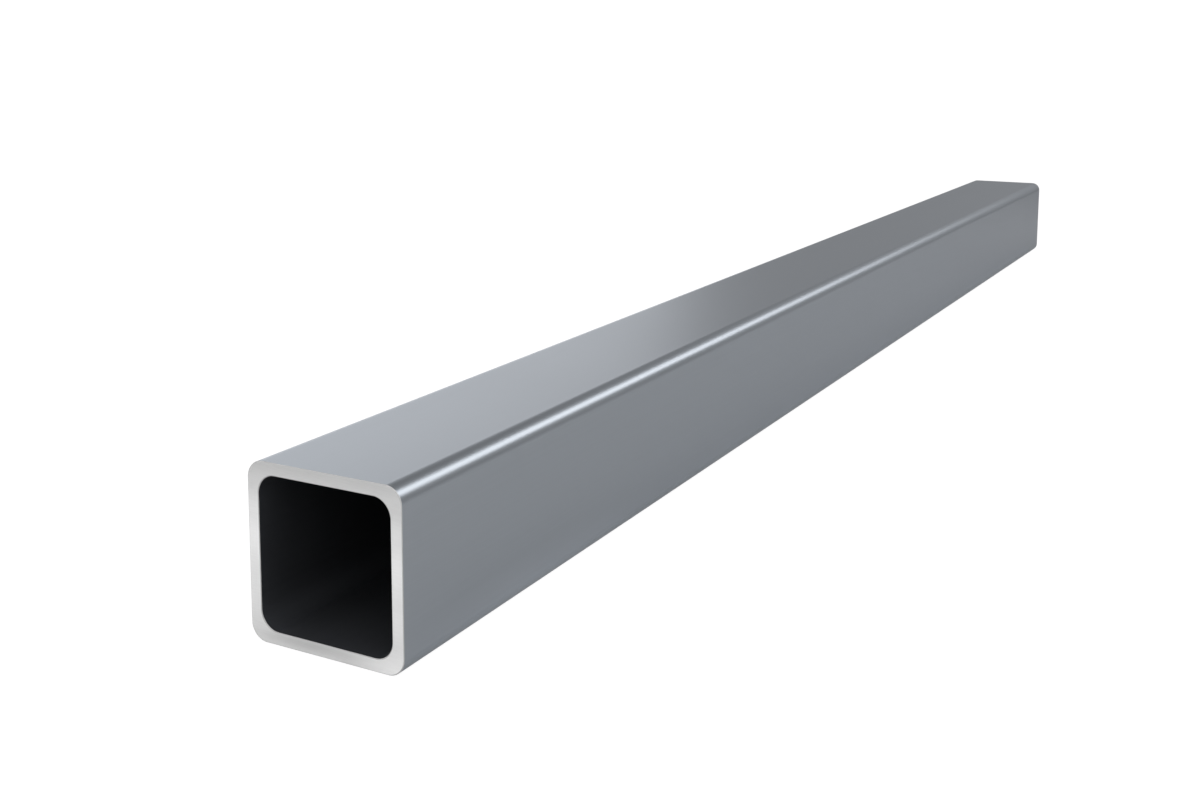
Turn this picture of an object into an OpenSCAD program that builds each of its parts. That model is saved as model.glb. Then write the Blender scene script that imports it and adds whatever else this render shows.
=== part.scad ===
// Stainless steel box-section tube: one length with four round long corners, sawn square
// at both ends and deburred. The length runs along X, the bottom wall lies on the XY
// plane, and the origin is under the middle of the tube.

/* [Section] */
// Width of the section, over the two side walls
section_w = 70; // [50:1:200]
// Height of the section, over the top and bottom walls
section_h = 70; // [50:1:200]
// Thickness of the four flat walls
wall = 5; // [3:0.5:10]
// Outside radius of the four long corners
outer_corner_r = 7; // [2:0.25:10]
// Radius of the four long corners of the bore
bore_corner_r = 7.75; // [3:0.25:12]

/* [Length and ends] */
// Length from one sawn end to the other
cut_length = 1120; // [100:10:6000]
// Width of the bevel that deburring leaves on both rims of each end
deburr = 0.3; // [0.1:0.1:1]

/* [Hidden] */
// Size of the bore, which is what the walls leave of the section
bore_w = section_w - 2 * wall;
bore_h = section_h - 2 * wall;
// How far the bore's cutter runs out past each sawn end
overcut = 1;
// Fineness of the round corners
$fn = 96;

// One long edge of a bar's lengthwise outline, half_w off the middle line. A bevel takes
// both ends in towards the middle line, and a negative bevel flares them out.
function long_edge(half_w, length, bevel) = [
    [half_w - bevel, -length / 2],
    [half_w, abs(bevel) - length / 2],
    [half_w, length / 2 - abs(bevel)],
    [half_w - bevel, length / 2]
];

// Slab along Z, full_w wide with bevelled long edges, and flat_t thick without them
module slab(full_w, flat_t, length, bevel) {
    edge = long_edge(full_w / 2, length, bevel);
    rotate([90, 0, 0])
        linear_extrude(height = flat_t, center = true)
            polygon(concat(edge, [for (p = edge) -p]));
}

// Round rod along Z that rounds one long corner of a bar
module corner_rod(r, length, bevel) {
    rotate_extrude()
        polygon(concat([[0, -length / 2]], long_edge(r, length, bevel), [[0, length / 2]]));
}

// Solid bar along X, w wide in Y and h high in Z, with four round long corners: two
// crossed slabs make its flats, and a rod fills each corner.
module round_cornered_bar(w, h, r, length, bevel) {
    rotate([0, 90, 0]) {
        slab(h, w - 2 * r, length, bevel);
        rotate([0, 0, 90]) slab(w, h - 2 * r, length, bevel);
        for (side_z = [-1, 1], side_y = [-1, 1])
            translate([side_z * (h / 2 - r), side_y * (w / 2 - r), 0])
                corner_rod(r, length, bevel);
    }
}

// What is taken out for the bore. It flares at the ends, so it bevels the inner rims too.
module bore() {
    round_cornered_bar(bore_w, bore_h, bore_corner_r,
                       cut_length + 2 * overcut, -(deburr + overcut));
}

module tube() {
    color([0.53, 0.55, 0.58])
        translate([0, 0, section_h / 2])
            difference() {
                round_cornered_bar(section_w, section_h, outer_corner_r, cut_length, deburr);
                bore();
            }
}

tube();
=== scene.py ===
# Stainless steel square tube: one length of stock lying on a pale floor, seen from one end.
import math

import bpy
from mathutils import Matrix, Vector


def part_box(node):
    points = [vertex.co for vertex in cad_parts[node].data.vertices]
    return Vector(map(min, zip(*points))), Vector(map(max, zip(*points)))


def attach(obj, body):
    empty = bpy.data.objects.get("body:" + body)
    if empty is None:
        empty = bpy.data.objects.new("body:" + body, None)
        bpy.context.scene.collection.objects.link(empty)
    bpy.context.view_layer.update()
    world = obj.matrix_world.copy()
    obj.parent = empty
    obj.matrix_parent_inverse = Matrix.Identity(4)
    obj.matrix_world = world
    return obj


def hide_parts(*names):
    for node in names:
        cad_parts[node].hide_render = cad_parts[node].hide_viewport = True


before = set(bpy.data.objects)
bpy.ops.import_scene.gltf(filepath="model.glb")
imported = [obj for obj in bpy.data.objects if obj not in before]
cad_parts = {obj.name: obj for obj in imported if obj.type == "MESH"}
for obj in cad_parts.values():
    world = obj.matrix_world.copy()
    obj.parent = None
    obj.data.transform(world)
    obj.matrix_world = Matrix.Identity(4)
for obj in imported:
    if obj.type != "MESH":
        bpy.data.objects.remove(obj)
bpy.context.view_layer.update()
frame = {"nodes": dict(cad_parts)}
scene = bpy.context.scene
print("frame loaded:", ", ".join(frame["nodes"]))

nodeGrid = {"perRow": 12, "right": 200, "down": 260}  # how a tree is laid out in the editor
mixSockets = {"FLOAT": (2, 0), "VECTOR": (4, 1), "RGBA": (6, 2)}  # first of its two values, result
white = (1, 1, 1, 1)


def addNode(tree, kind, inputs=None, **settings):  # one node, its settings and what feeds it
    node = tree.nodes.new(kind)
    row, column = divmod(len(tree.nodes), nodeGrid["perRow"])
    node.location = (nodeGrid["right"] * column, -nodeGrid["down"] * row)
    for name, value in settings.items():
        setattr(node, name, value)
    for key, value in (inputs or {}).items():
        if isinstance(value, bpy.types.NodeSocket):
            tree.links.new(value, node.inputs[key])
        else:
            node.inputs[key].default_value = value
    return node


def calc(tree, operation, *values):  # a Math node's result
    return addNode(tree, "ShaderNodeMath", dict(enumerate(values)), operation=operation).outputs[0]


def mixOf(tree, kind, share, first, second):  # from the first value to the second, by a share
    start, result = mixSockets[kind]
    values = {"Factor": share, start: first, start + 1: second}
    return addNode(tree, "ShaderNodeMix", values, data_type=kind).outputs[result]


def newGroup(name, kind, inputs, outputs):  # an empty node group with named sockets
    tree = bpy.data.node_groups.new(name, kind)
    for direction, sockets in (("INPUT", inputs), ("OUTPUT", outputs)):
        for label, socketKind in sockets.items():
            tree.interface.new_socket(label, in_out=direction, socket_type=socketKind)
    return tree, tree.nodes.new("NodeGroupInput").outputs, tree.nodes.new("NodeGroupOutput").inputs


def makeRoundedOutline():
    # Point number -> place on a closed outline with four straight sides and four round corners
    tree, given, result = newGroup(
        "roundedOutline",
        "GeometryNodeTree",
        {
            "Half Width": "NodeSocketFloat",
            "Half Height": "NodeSocketFloat",
            "Corner Radius": "NodeSocketFloat",
            "Corner Steps": "NodeSocketInt",
            "Point": "NodeSocketInt",
        },
        {"Across": "NodeSocketFloat", "Up": "NodeSocketFloat"},
    )
    steps, point, radius = given["Corner Steps"], given["Point"], given["Corner Radius"]
    perCorner = calc(tree, "ADD", steps, 1)
    corner = calc(tree, "FLOOR", calc(tree, "DIVIDE", point, perCorner))
    share = calc(tree, "DIVIDE", calc(tree, "FLOORED_MODULO", point, perCorner), steps)
    angle = calc(tree, "MULTIPLY", calc(tree, "ADD", corner, share), math.pi / 2)
    middle = calc(tree, "MULTIPLY", calc(tree, "ADD", corner, 0.5), math.pi / 2)
    for name, half, turn in (("Across", "Half Width", "COSINE"), ("Up", "Half Height", "SINE")):
        side = calc(tree, "SIGN", calc(tree, turn, middle))
        centre = calc(tree, "MULTIPLY", side, calc(tree, "SUBTRACT", given[half], radius))
        reach = calc(tree, "MULTIPLY", calc(tree, turn, angle), radius)
        tree.links.new(calc(tree, "ADD", centre, reach), result[name])
    return tree


def makeTubeStock(roundedOutline):
    # The section's outline goes round the tube, and the wall's own outline goes along it and back
    weldGap = 1e-6  # points nearer than this become one
    halfStep = 0.5  # sides are counted in whole numbers
    tree, given, result = newGroup(
        "tubeStock",
        "GeometryNodeTree",
        {
            "Geometry": "NodeSocketGeometry",
            "Length": "NodeSocketFloat",
            "Width": "NodeSocketFloat",
            "Height": "NodeSocketFloat",
            "Wall": "NodeSocketFloat",
            "Outer Corner Radius": "NodeSocketFloat",
            "Bore Corner Radius": "NodeSocketFloat",
            "Corner Steps": "NodeSocketInt",
            "Rim Radius": "NodeSocketFloat",
            "Rim Steps": "NodeSocketInt",
            "Skin": "NodeSocketMaterial",
            "Sawn End": "NodeSocketMaterial",
            "Bore": "NodeSocketMaterial",
            "Rim": "NodeSocketMaterial",
        },
        {"Geometry": "NodeSocketGeometry"},
    )
    pointsRound = calc(tree, "MULTIPLY", calc(tree, "ADD", given["Corner Steps"], 1), 4)
    rings = calc(tree, "MULTIPLY", calc(tree, "ADD", given["Rim Steps"], 1), 4)
    grid = addNode(
        tree,
        "GeometryNodeMeshGrid",
        {"Vertices X": calc(tree, "ADD", rings, 1), "Vertices Y": calc(tree, "ADD", pointsRound, 1)},
    )
    index = addNode(tree, "GeometryNodeInputIndex").outputs[0]
    perRing = calc(tree, "ADD", pointsRound, 1)
    ring = calc(tree, "FLOOR", calc(tree, "DIVIDE", index, perRing))
    point = calc(tree, "FLOORED_MODULO", index, perRing)

    def outline(halfWidth, halfHeight, radius, steps, number):
        return addNode(
            tree,
            "GeometryNodeGroup",
            {
                "Half Width": halfWidth,
                "Half Height": halfHeight,
                "Corner Radius": radius,
                "Corner Steps": steps,
                "Point": number,
            },
            node_tree=roundedOutline,
        ).outputs

    def section(inset, radius):
        halfWidth = calc(tree, "SUBTRACT", calc(tree, "DIVIDE", given["Width"], 2), inset)
        halfHeight = calc(tree, "SUBTRACT", calc(tree, "DIVIDE", given["Height"], 2), inset)
        place = outline(halfWidth, halfHeight, given[radius], given["Corner Steps"], point)
        return addNode(tree, "ShaderNodeCombineXYZ", {"Y": place["Across"], "Z": place["Up"]}).outputs[0]

    alongWall = outline(
        calc(tree, "DIVIDE", given["Length"], 2),
        calc(tree, "DIVIDE", given["Wall"], 2),
        given["Rim Radius"],
        given["Rim Steps"],
        ring,
    )
    # 0 on the bore and 1 on the skin
    throughWall = calc(tree, "ADD", calc(tree, "DIVIDE", alongWall["Up"], given["Wall"]), 0.5)
    onBore = section(given["Wall"], "Bore Corner Radius")
    onSkin = section(0.0, "Outer Corner Radius")
    onSection = mixOf(tree, "VECTOR", throughWall, onBore, onSkin)
    lift = addNode(
        tree,
        "ShaderNodeCombineXYZ",
        {"X": alongWall["Across"], "Z": calc(tree, "DIVIDE", given["Height"], 2)},
    )
    place = addNode(tree, "ShaderNodeVectorMath", {0: onSection, 1: lift.outputs[0]}, operation="ADD")
    strip = addNode(tree, "GeometryNodeCaptureAttribute", {"Geometry": grid.outputs[0]}, domain="FACE")
    strip.capture_items.new("INT", "Strip")
    tree.links.new(calc(tree, "FLOOR", calc(tree, "DIVIDE", index, pointsRound)), strip.inputs[1])
    placed = addNode(
        tree, "GeometryNodeSetPosition", {"Geometry": strip.outputs[0], "Position": place.outputs[0]}
    )
    closed = addNode(
        tree, "GeometryNodeMergeByDistance", {"Geometry": placed.outputs[0], "Distance": weldGap}
    )
    smooth = addNode(tree, "GeometryNodeSetShadeSmooth", {"Geometry": closed.outputs[0]})
    body = addNode(tree, "GeometryNodeRealizeInstances", {"Geometry": smooth.outputs[0]}).outputs[0]

    # Each side of the wall's outline is a rim and then a flat, and the flats are the skin, an end,
    # the bore and the other end
    perRim = calc(tree, "ADD", given["Rim Steps"], 1)
    isRim = calc(
        tree, "LESS_THAN", calc(tree, "FLOORED_MODULO", strip.outputs[1], perRim), given["Rim Steps"]
    )
    side = calc(tree, "FLOOR", calc(tree, "DIVIDE", strip.outputs[1], perRim))
    sides = {
        "Skin": calc(tree, "COMPARE", side, 0, halfStep),
        "Sawn End": calc(tree, "FLOORED_MODULO", side, 2),
        "Bore": calc(tree, "COMPARE", side, 2, halfStep),
        "Rim": isRim,
    }
    for name, where in sides.items():
        body = addNode(
            tree,
            "GeometryNodeSetMaterial",
            {"Geometry": body, "Selection": where, "Material": given[name]},
        ).outputs[0]
    tree.links.new(body, result["Geometry"])
    return tree


low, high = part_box("tube")
tubeSizes = {
    "Length": high.x - low.x,
    "Width": high.y - low.y,
    "Height": high.z - low.z,
    "Wall": 0.005,
    "Outer Corner Radius": 0.007,
    "Bore Corner Radius": 0.00775,
    "Corner Steps": 24,
    "Rim Radius": 0.0003,
    "Rim Steps": 3,
}


def centred(tree, noise):  # from between 0 and 1 to between -1 and 1
    return calc(tree, "MULTIPLY_ADD", noise.outputs[0], 2.0, -1.0)


def makeFineLines():
    # Thin parallel lines along the place's own X, from -1 to 1, as rolling and sawing leave them
    tree, given, result = newGroup(
        "fineLines",
        "ShaderNodeTree",
        {
            "Place": "NodeSocketVector",
            "Lines Per Metre": "NodeSocketFloat",
            "Runs Per Metre": "NodeSocketFloat",
            "Wander": "NodeSocketFloat",
        },
        {"Lines": "NodeSocketFloat"},
    )
    stretch = addNode(
        tree,
        "ShaderNodeCombineXYZ",
        {"X": given["Runs Per Metre"], "Y": given["Lines Per Metre"], "Z": given["Lines Per Metre"]},
    )
    drawnOut = addNode(
        tree, "ShaderNodeVectorMath", {0: given["Place"], 1: stretch.outputs[0]}, operation="MULTIPLY"
    )
    noise = addNode(
        tree,
        "ShaderNodeTexNoise",
        {
            "Vector": drawnOut.outputs[0],
            "Scale": 1.0,
            "Detail": 2.0,
            "Roughness": 0.6,
            "Distortion": given["Wander"],
        },
    )
    tree.links.new(centred(tree, noise), result["Lines"])
    return tree


def makeSoftPatches():  # slow, cloudy change over a surface, from -1 to 1
    tree, given, result = newGroup(
        "softPatches",
        "ShaderNodeTree",
        {"Place": "NodeSocketVector", "Patches Per Metre": "NodeSocketFloat"},
        {"Patches": "NodeSocketFloat"},
    )
    noise = addNode(
        tree,
        "ShaderNodeTexNoise",
        {"Vector": given["Place"], "Scale": given["Patches Per Metre"], "Detail": 1.5, "Roughness": 0.45},
    )
    tree.links.new(centred(tree, noise), result["Patches"])
    return tree


fineLines = makeFineLines()
softPatches = makeSoftPatches()


def startMetal(name, look):  # a new material, its shader, and the place its patterns are read at
    material = bpy.data.materials.new(name)
    material.use_nodes = True
    tree = material.node_tree
    shader = tree.nodes["Principled BSDF"]
    shader.inputs["Metallic"].default_value = look["metallic"]
    place = addNode(tree, "ShaderNodeTexCoord").outputs["Object"]
    return material, tree, shader, place


def linesOn(tree, place, lines):
    return addNode(
        tree,
        "ShaderNodeGroup",
        {
            "Place": place,
            "Lines Per Metre": lines["perMetre"],
            "Runs Per Metre": lines["runsPerMetre"],
            "Wander": lines["wander"],
        },
        node_tree=fineLines,
    ).outputs[0]


def patchesOn(tree, place, perMetre):
    return addNode(
        tree, "ShaderNodeGroup", {"Place": place, "Patches Per Metre": perMetre}, node_tree=softPatches
    ).outputs[0]


def sumOf(tree, start, *terms):  # start + mask * amount + mask * amount ...
    total = start
    for mask, amount in terms:
        total = calc(tree, "MULTIPLY_ADD", mask, amount, total)
    return total


def shadeOf(tree, colour, share):  # one colour, lighter or darker by a share
    return addNode(tree, "ShaderNodeVectorMath", {0: colour, "Scale": share}, operation="SCALE").outputs[0]


def rampOf(tree, value, stops, interpolation="LINEAR"):  # grey by place along a value from 0 to 1
    node = addNode(tree, "ShaderNodeValToRGB", {0: value})
    node.color_ramp.interpolation = interpolation
    elements = node.color_ramp.elements
    while len(elements) < len(stops):
        elements.new(0.5)
    for element, (position, grey) in zip(elements, sorted(stops.items())):
        element.position = position
        element.color = (grey, grey, grey, 1)
    return node.outputs[0]


def spotOn(tree, place, spot):  # the mask of an oval spot that fades outwards, and its tone
    offset = addNode(tree, "ShaderNodeVectorMath", {0: place, 1: spot["centre"]}, operation="SUBTRACT")
    shares = addNode(
        tree, "ShaderNodeVectorMath", {0: offset.outputs[0], 1: spot["reach"]}, operation="DIVIDE"
    )
    away = addNode(tree, "ShaderNodeVectorMath", {0: shares.outputs[0]}, operation="LENGTH")
    mask = addNode(
        tree,
        "ShaderNodeMapRange",
        {"Value": away.outputs["Value"], "From Min": 1.0, "From Max": 0.0},
        interpolation_type="SMOOTHSTEP",
    )
    return mask.outputs[0], spot["tone"]


def roughen(tree, shader, height, depth):  # the lines stand depth metres high
    bump = addNode(tree, "ShaderNodeBump", {"Strength": 1.0, "Distance": depth, "Height": height})
    tree.links.new(bump.outputs[0], shader.inputs["Normal"])


skinLook = {
    "colour": (0.414, 0.445, 0.483),
    "metallic": 1.0,
    "edgeTint": (0.905, 0.913, 0.935),  # share of the mirror's strength at a grazing view
    "roughness": 0.339,
    "rollLines": {"perMetre": 900, "runsPerMetre": 3.0, "wander": 0.1},
    "hairLines": {"perMetre": 3500, "runsPerMetre": 14.0, "wander": 0.0},
    "patchesPerMetre": 9,
    "lineTone": 0.02,
    "hairTone": 0.03,
    "patchTone": 0.015,
    # a painted reflection: paler, low on the front side, by the near end
    "paintedReflectionPatch": {"centre": (-0.475, -0.035, 0.003), "reach": (0.13, 0.02, 0.018), "tone": 0.15},
    "lineRoughness": 0.01,
    "patchRoughness": 0.012,
    "lineDepth": 1.5e-6,
    "rollDepthShare": 0.5,  # how deep the roll lines are beside the hair lines
}


def makeSkin(look):  # the satin mill finish outside, with lines along the tube
    material, tree, shader, place = startMetal("satinSkin", look)
    shader.inputs["Specular Tint"].default_value = (*look["edgeTint"], 1)
    rollLines = linesOn(tree, place, look["rollLines"])
    hairLines = linesOn(tree, place, look["hairLines"])
    patches = patchesOn(tree, place, look["patchesPerMetre"])
    tone = sumOf(
        tree,
        1.0,
        (rollLines, look["lineTone"]),
        (hairLines, look["hairTone"]),
        (patches, look["patchTone"]),
        # painted reflection, paler low on the front side by the near end
        spotOn(tree, place, look["paintedReflectionPatch"]),
    )
    tree.links.new(shadeOf(tree, look["colour"], tone), shader.inputs["Base Color"])
    gloss = sumOf(
        tree, look["roughness"], (rollLines, look["lineRoughness"]), (patches, look["patchRoughness"])
    )
    tree.links.new(gloss, shader.inputs["Roughness"])
    height = sumOf(tree, hairLines, (rollLines, look["rollDepthShare"]))
    roughen(tree, shader, height, look["lineDepth"])
    return material


bothEnds = 1e3  # a spot with this reach along the tube lies on both of its ends
sawnLook = {
    "colour": (0.94, 0.94, 0.94),
    "metallic": 0.4,
    "roughness": 0.6,
    # painted light and shade, by height over the section's height
    "paintedShadingBands": {0.0: 0.73, 0.35: 0.89, 0.58: 1.0, 0.72: 0.91, 0.9: 0.71, 1.0: 0.61},
    # painted light and shade: pale front bottom corner, dark bottom wall, darker front wall, paler back
    # wall
    "paintedShadingSpots": (
        {"centre": (0.0, -0.034, 0.001), "reach": (bothEnds, 0.026, 0.012), "tone": 0.19},
        {"centre": (0.0, 0.008, 0.0035), "reach": (bothEnds, 0.031, 0.0036), "tone": -0.15},
        {"centre": (0.0, -0.034, 0.045), "reach": (bothEnds, 0.03, 0.028), "tone": -0.085},
        {"centre": (0.0, 0.034, 0.01), "reach": (bothEnds, 0.014, 0.02), "tone": 0.05},
    ),
    "sawTilt": math.radians(4),
    "sawLines": {"perMetre": 2200, "runsPerMetre": 120.0, "wander": 0.2},
    "patchesPerMetre": 45,
    "lineTone": 0.05,
    "patchTone": 0.03,
    "lineRoughness": 0.05,
    "lineDepth": 4e-6,
}


def makeSawnEnd(look):  # pale, matte metal with the saw's lines slanting over it
    material, tree, shader, place = startMetal("sawnEnd", look)
    alongSaw = addNode(
        tree, "ShaderNodeMapping", {"Vector": place, "Rotation": (-look["sawTilt"], 0, -math.pi / 2)}
    ).outputs[0]
    sawLines = linesOn(tree, alongSaw, look["sawLines"])
    patches = patchesOn(tree, place, look["patchesPerMetre"])
    height = addNode(tree, "ShaderNodeSeparateXYZ", {0: place}).outputs["Z"]
    # painted light and shade in bands by height over the end
    bands = rampOf(tree, calc(tree, "DIVIDE", height, tubeSizes["Height"]), look["paintedShadingBands"], "EASE")
    # painted light and shade in spots on each end
    paintedShadingSpots = [spotOn(tree, place, spot) for spot in look["paintedShadingSpots"]]
    tone = sumOf(tree, bands, (sawLines, look["lineTone"]), (patches, look["patchTone"]), *paintedShadingSpots)
    tree.links.new(shadeOf(tree, look["colour"], tone), shader.inputs["Base Color"])
    gloss = sumOf(tree, look["roughness"], (sawLines, look["lineRoughness"]))
    tree.links.new(gloss, shader.inputs["Roughness"])
    roughen(tree, shader, sawLines, look["lineDepth"])
    return material


boreLook = {
    # near black: painted shade standing in for the unlit inside of the bore
    "colour": (0.0213, 0.0227, 0.0258),
    "mouthDepth": 0.1,
    # painted light, brighter at the mouth, and painted shade deeper in
    "paintedMouthLight": {0.0: 1.35, 0.1: 1.1, 0.2: 0.93, 0.4: 0.82, 1.0: 0.9},  # by share of that depth
    # a painted highlight along the bore's bottom back corner, in the near mouth
    "paintedCornerHighlight": {"centre": (-0.56, 0.0262, 0.0102), "reach": (0.085, 0.015, 0.011), "tone": 0.55},
    "metallic": 0.0,
    "shine": 0.25,
    "roughness": 0.5,
    "drawLines": {"perMetre": 500, "runsPerMetre": 4.0, "wander": 0.3},
    "patchesPerMetre": 30,
    "lineTone": 0.12,
    "patchTone": 0.12,
    "patchRoughness": 0.05,
    "lineDepth": 4e-6,
}


# its near-black colour is painted shade for the unlit inside
def makeBore(look):  # the dark, dull inside
    material, tree, shader, place = startMetal("darkBore", look)
    shader.inputs["Specular IOR Level"].default_value = look["shine"]
    drawLines = linesOn(tree, place, look["drawLines"])
    patches = patchesOn(tree, place, look["patchesPerMetre"])
    along = addNode(tree, "ShaderNodeSeparateXYZ", {0: place}).outputs["X"]
    depth = calc(tree, "SUBTRACT", tubeSizes["Length"] / 2, calc(tree, "ABSOLUTE", along))
    tone = sumOf(
        tree,
        # painted light at the mouth and painted shade further in
        rampOf(tree, calc(tree, "DIVIDE", depth, look["mouthDepth"]), look["paintedMouthLight"]),
        # painted highlight along one bottom corner of the bore
        spotOn(tree, place, look["paintedCornerHighlight"]),
        (drawLines, look["lineTone"]),
        (patches, look["patchTone"]),
    )
    tree.links.new(shadeOf(tree, look["colour"], tone), shader.inputs["Base Color"])
    tree.links.new(
        sumOf(tree, look["roughness"], (patches, look["patchRoughness"])), shader.inputs["Roughness"]
    )
    roughen(tree, shader, drawLines, look["lineDepth"])
    return material


rimLook = {
    "colour": (0.5, 0.5, 0.5),
    "metallic": 0.4,
    "roughness": 0.6,
    "patchesPerMetre": 300,
    "patchTone": 0.05,
    "patchRoughness": 0.06,
}


def makeRim(look):  # the fine bevel that deburring leaves
    material, tree, shader, place = startMetal("deburredRim", look)
    patches = patchesOn(tree, place, look["patchesPerMetre"])
    tree.links.new(
        shadeOf(tree, look["colour"], sumOf(tree, 1.0, (patches, look["patchTone"]))),
        shader.inputs["Base Color"],
    )
    tree.links.new(
        sumOf(tree, look["roughness"], (patches, look["patchRoughness"])), shader.inputs["Roughness"]
    )
    return material


def setInput(modifier, name, value):  # a modifier's input goes by its socket's identifier
    sockets = modifier.node_group.interface.items_tree
    identifier = next(s.identifier for s in sockets if s.name == name and s.in_out == "INPUT")
    modifier[identifier] = value


def makeTube(finishes):
    blank = bpy.data.objects.new("tubeBlank", bpy.data.meshes.new("tubeBlank"))
    scene.collection.objects.link(blank)
    stock = blank.modifiers.new("tubeStock", "NODES")
    stock.node_group = makeTubeStock(makeRoundedOutline())
    for name, value in {**tubeSizes, **finishes}.items():
        setInput(stock, name, value)
    normals = blank.modifiers.new("flatWallNormals", "WEIGHTED_NORMAL")
    normals.mode = "FACE_AREA"
    normals.weight = 100  # the large flats decide
    ready = blank.evaluated_get(bpy.context.evaluated_depsgraph_get())
    mesh = bpy.data.meshes.new_from_object(ready)
    mesh.name = "steelTube"
    tube = bpy.data.objects.new("steelTube", mesh)
    scene.collection.objects.link(tube)
    bpy.data.objects.remove(blank)
    return tube


finishes = {
    "Skin": makeSkin(skinLook),
    "Sawn End": makeSawnEnd(sawnLook),
    "Bore": makeBore(boreLook),
    "Rim": makeRim(rimLook),
}
print("finishes made:", ", ".join(finishes))
tube = makeTube(finishes)
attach(tube, "root")
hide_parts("tube")
print("tube made:", len(tube.data.polygons), "faces")

viewSettings = {
    "position": (-0.94405, -0.31497, 0.22715),
    "turnFromLength": 29.17,  # degrees, as the next one
    "lookDown": 7.47,
    "lens": 42.312,
    "shift": (0.0276, -0.15416),
}


def makeCamera(settings):
    camera = bpy.data.objects.new("camera", bpy.data.cameras.new("camera"))
    scene.collection.objects.link(camera)
    camera.location = settings["position"]
    camera.rotation_euler = (
        math.radians(90 - settings["lookDown"]),
        0,
        math.radians(settings["turnFromLength"] - 90),
    )
    camera.data.lens = settings["lens"]
    camera.data.shift_x, camera.data.shift_y = settings["shift"]
    camera.data.clip_start = 0.01
    scene.camera = camera


makeCamera(viewSettings)
print("camera placed")

studioLook = {
    "backdrop": 1.5,  # what the camera sees
    "level": 0.45,  # what the metal mirrors, level and straight up
    "overhead": 0.19,
    # shares put on or taken off towards the tube's front side and behind the camera
    "slopes": (
        {"axis": "Y", "start": -0.2, "full": -0.65, "share": -0.27},
        {"axis": "X", "start": 0.0, "full": -0.7, "share": 2.2},
    ),
    # a paler patch of sky past the far end, which the round corner mirrors
    "pastFarEnd": {"centre": (0.955, 0.02, 0.305), "reach": (0.3, 0.2, 0.09), "tone": 0.85},
}


def makeStudio(look):
    world = bpy.data.worlds.new("studio")
    scene.world = world
    world.use_nodes = True
    tree = world.node_tree
    direction = addNode(tree, "ShaderNodeTexCoord").outputs["Generated"]
    towards = addNode(tree, "ShaderNodeSeparateXYZ", {0: direction}).outputs
    glow = rampOf(tree, towards["Z"], {0.0: look["level"], 1.0: look["overhead"]})
    for slope in look["slopes"]:
        rise = addNode(
            tree,
            "ShaderNodeMapRange",
            {"Value": towards[slope["axis"]], "From Min": slope["start"], "From Max": slope["full"]},
            interpolation_type="SMOOTHSTEP",
        ).outputs[0]
        glow = shadeOf(tree, glow, sumOf(tree, 1.0, (rise, slope["share"])))
    glow = shadeOf(tree, glow, sumOf(tree, 1.0, spotOn(tree, direction, look["pastFarEnd"])))
    seen = addNode(tree, "ShaderNodeLightPath").outputs["Is Camera Ray"]
    backdrop = (*[look["backdrop"]] * 3, 1)
    sky = mixOf(tree, "RGBA", seen, glow, backdrop)
    tree.links.new(sky, tree.nodes["Background"].inputs["Color"])
    scene.view_settings.view_transform = "Standard"


lights = {
    "edgeStrip": {  # the bright line along the round corner, and half of the front side's light
        "centre": (-0.32, -0.338, 0.447),
        "aimAt": (-0.32, 0.0, 0.035),
        "length": 2.78,
        "width": 0.27,
        "radiance": 2.1,
    },
    "leftPanel": {  # makes the near half of the top paler
        "centre": (4.38, 3.885, 1.365),
        "aimAt": (4.38, 0.0, 0.531),
        "length": 7.5,
        "width": 2.75,
        "radiance": 0.874,
    },
    "frontPanel": {  # lifts the sawn end and the bore's bottom wall a little
        "centre": (-2.0, 1.2, 1.85),
        "aimAt": (-0.56, 0.0, 0.035),
        "length": 2.0,
        "width": 2.0,
        "radiance": 1.2,
    },
}


def makeLight(name, look):  # a flat panel with its long side level
    data = bpy.data.lights.new(name, "AREA")
    data.shape = "RECTANGLE"
    data.size = look["length"]
    data.size_y = look["width"]
    data.energy = math.pi * look["radiance"] * look["length"] * look["width"]  # watts
    light = bpy.data.objects.new(name, data)
    scene.collection.objects.link(light)
    back = Vector(look["centre"]) - Vector(look["aimAt"])
    light.location = look["centre"]
    light.rotation_euler = back.to_track_quat("Z", "Y").to_euler()
    light.visible_camera = False


floorLook = {
    "half": 30.0,
    "drop": 0.0005,  # just under the tube, so that the two never share a plane
    "glow": {"seen": 0.97, "mirrored": 0.03},  # white to the eye, and grey in the metal
    "grey": {"seen": 0.1, "mirrored": 0.515},
}


def makeFloor(look):
    half, top = look["half"], -look["drop"]
    mesh = bpy.data.meshes.new("floor")
    mesh.from_pydata(
        [(-half, -half, top), (half, -half, top), (half, half, top), (-half, half, top)],
        [],
        [(0, 1, 2, 3)],
    )
    floor = bpy.data.objects.new("floor", mesh)
    scene.collection.objects.link(floor)
    material = bpy.data.materials.new("paleFloor")
    material.use_nodes = True
    tree = material.node_tree
    shader = tree.nodes["Principled BSDF"]
    shader.inputs["Roughness"].default_value = 1.0
    shader.inputs["Specular IOR Level"].default_value = 0.0
    shader.inputs["Emission Color"].default_value = white
    seen = addNode(tree, "ShaderNodeLightPath").outputs["Is Camera Ray"]
    for key, socket in (("grey", "Base Color"), ("glow", "Emission Strength")):
        level = mixOf(tree, "FLOAT", seen, look[key]["mirrored"], look[key]["seen"])
        tree.links.new(level, shader.inputs[socket])
    material.cycles.emission_sampling = "NONE"
    mesh.materials.append(material)


makeStudio(studioLook)
for name, look in lights.items():
    makeLight(name, look)
makeFloor(floorLook)
print("studio lit")
